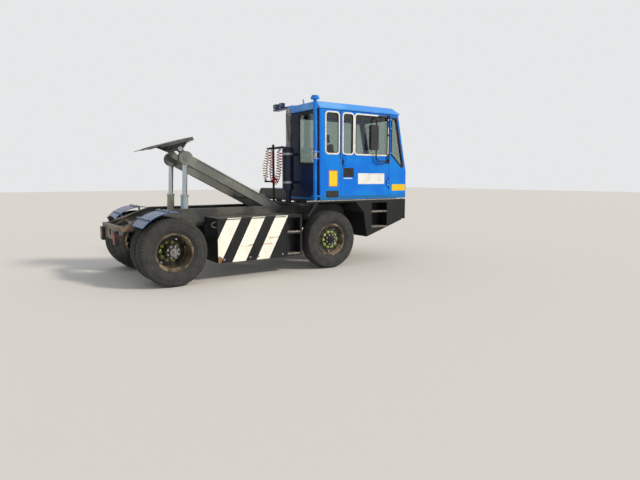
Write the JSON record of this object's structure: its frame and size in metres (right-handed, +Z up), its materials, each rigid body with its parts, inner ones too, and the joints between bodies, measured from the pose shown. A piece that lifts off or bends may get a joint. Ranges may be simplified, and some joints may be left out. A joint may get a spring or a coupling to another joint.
{
  "type": "terminal tractor",
  "caption": "Yard tractor with a narrow right-hand cab, low engine hood, twin rear wheels and a fifth wheel on a raised lifting boom.",
  "frame": {"origin": "on the ground, midway along the length, on the vehicle's middle plane", "axes": "+X forward, +Y to the vehicle's left, +Z up"},
  "size_m": [5.55, 2.5, 3.1358],
  "materials": {
    "chassis paint": "satin",
    "axle casting": "satin",
    "spring steel": "satin",
    "engine casting": "satin",
    "blue paint": "gloss",
    "red hose": "satin",
    "clear lens": "gloss",
    "lamp housing": "satin",
    "grey paint": "satin",
    "window glass": "gloss",
    "seat cloth": "satin",
    "black plastic": "satin",
    "stack steel": "satin",
    "yellow hose": "satin",
    "boom paint": "satin",
    "cylinder paint": "satin",
    "chrome rod": "polished",
    "cast plate": "satin",
    "rim paint": "satin",
    "tyre rubber": "satin"
  },
  "bodies": {
    "chassis": {"frame_rails": "chassis paint", "cross_members": "chassis paint", "tail_beam": "chassis paint", "boom_brackets": "chassis paint", "lift_saddle": "chassis paint", "front_axle": "axle casting", "front_springs": "spring steel", "rear_axle": "axle casting", "engine_block": "engine casting", "sill_rails": "chassis paint", "cab_floor": "blue paint", "intake_stack": "blue paint", "hose_red": "red hose", "engine_hood": "blue paint", "step_frames": "chassis paint", "side_cabinet": "chassis paint", "fuel_tank": "chassis paint", "air_tanks": "chassis paint", "front_bumper": "chassis paint", "headlamps": "clear lens", "tail_lamps": "lamp housing", "rear_fenders": "blue paint", "catwalk": "grey paint", "cab_right_side": "blue paint", "cab_left_side": "blue paint", "cab_rear_wall": "blue paint", "cab_front": "blue paint", "cab_roof": "blue paint", "cab_glass": "window glass", "seat": "seat cloth", "dash": "black plastic", "steering_wheel": "black plastic", "exhaust_stack": "stack steel", "hose_yellow": "yellow hose"},
    "side_door": {"door": "blue paint", "door_glass": "window glass", "mirror": "black plastic"},
    "boom_arm": {"boom": "boom paint"},
    "coupling_plate": {"fifth_wheel": "cast plate"},
    "lift_barrel_pair": {"lift_barrels": "cylinder paint"},
    "lift_stage_pair": {"lift_stages": "cylinder paint"},
    "lift_rod_pair": {"lift_rods": "chrome rod"},
    "steer_knuckle_right": {"knuckle_right": "axle casting"},
    "steer_knuckle_left": {"knuckle_left": "axle casting"},
    "steer_tie_rod": {"tie_rod": "spring steel"},
    "front_wheel_right": {"front_rim_right": "rim paint", "front_tyre_right": "tyre rubber"},
    "front_wheel_left": {"front_rim_left": "rim paint", "front_tyre_left": "tyre rubber"},
    "rear_wheels_right": {"rear_rims_right": "rim paint", "rear_tyres_right": "tyre rubber"},
    "rear_wheels_left": {"rear_rims_left": "rim paint", "rear_tyres_left": "tyre rubber"}
  },
  "joints": [
    {"name": "door_hinge", "type": "hinge", "parent": "chassis", "child": "side_door", "pos_m": [2.267, -1.207, 2], "axis": [0, 0, 1], "range_deg": [0, 85]},
    {"name": "boom_lift", "type": "hinge", "parent": "chassis", "child": "boom_arm", "pos_m": [0.245, 0, 1.06], "axis": [0, 1, 0], "range_deg": [-23, 0]},
    {"name": "plate_pitch", "type": "hinge", "parent": "boom_arm", "child": "coupling_plate", "pos_m": [-1.615, 0, 2.15], "axis": [0, 1, 0], "range_deg": [0, 40]},
    {"name": "barrel_pivot", "type": "hinge", "parent": "chassis", "child": "lift_barrel_pair", "pos_m": [-1.635, 0, 0.37], "axis": [0, 1, 0], "range_deg": [-12.28, 0]},
    {"name": "stage_slide", "type": "slide", "parent": "lift_barrel_pair", "child": "lift_stage_pair", "axis": [0.0493, 0, 0.9988], "range_m": [-0.3055, 0]},
    {"name": "rod_slide", "type": "slide", "parent": "lift_stage_pair", "child": "lift_rod_pair", "axis": [0.0493, 0, 0.9988], "range_m": [-0.4621, 0]},
    {"name": "steer_right", "type": "hinge", "parent": "chassis", "child": "steer_knuckle_right", "pos_m": [0.875, -0.96, 0.53], "axis": [0, 0, 1], "range_deg": [-34, 34]},
    {"name": "steer_left", "type": "hinge", "parent": "chassis", "child": "steer_knuckle_left", "pos_m": [0.875, 0.96, 0.53], "axis": [0, 0, 1], "range_deg": [-34, 34]},
    {"name": "tie_rod_pivot", "type": "hinge", "parent": "steer_knuckle_right", "child": "steer_tie_rod", "pos_m": [0.725, -0.96, 0.38], "axis": [0, 0, 1], "range_deg": [-34, 34]},
    {"name": "front_spin_right", "type": "hinge", "parent": "steer_knuckle_right", "child": "front_wheel_right", "pos_m": [0.875, -1.08, 0.53], "axis": [0, 1, 0], "continuous": true},
    {"name": "front_spin_left", "type": "hinge", "parent": "steer_knuckle_left", "child": "front_wheel_left", "pos_m": [0.875, 1.08, 0.53], "axis": [0, 1, 0], "continuous": true},
    {"name": "rear_spin_right", "type": "hinge", "parent": "chassis", "child": "rear_wheels_right", "pos_m": [-2.055, -0.9125, 0.53], "axis": [0, 1, 0], "continuous": true},
    {"name": "rear_spin_left", "type": "hinge", "parent": "chassis", "child": "rear_wheels_left", "pos_m": [-2.055, 0.9125, 0.53], "axis": [0, 1, 0], "continuous": true}
  ],
  "couplings": [
    {"joint": "barrel_pivot", "follows": "boom_lift", "ratio": 0.5338},
    {"joint": "stage_slide", "follows": "boom_lift", "m_per_rad": 0.7611},
    {"joint": "rod_slide", "follows": "boom_lift", "m_per_rad": 1.1511},
    {"joint": "steer_left", "follows": "steer_right", "ratio": 1},
    {"joint": "tie_rod_pivot", "follows": "steer_right", "ratio": -1}
  ]
}
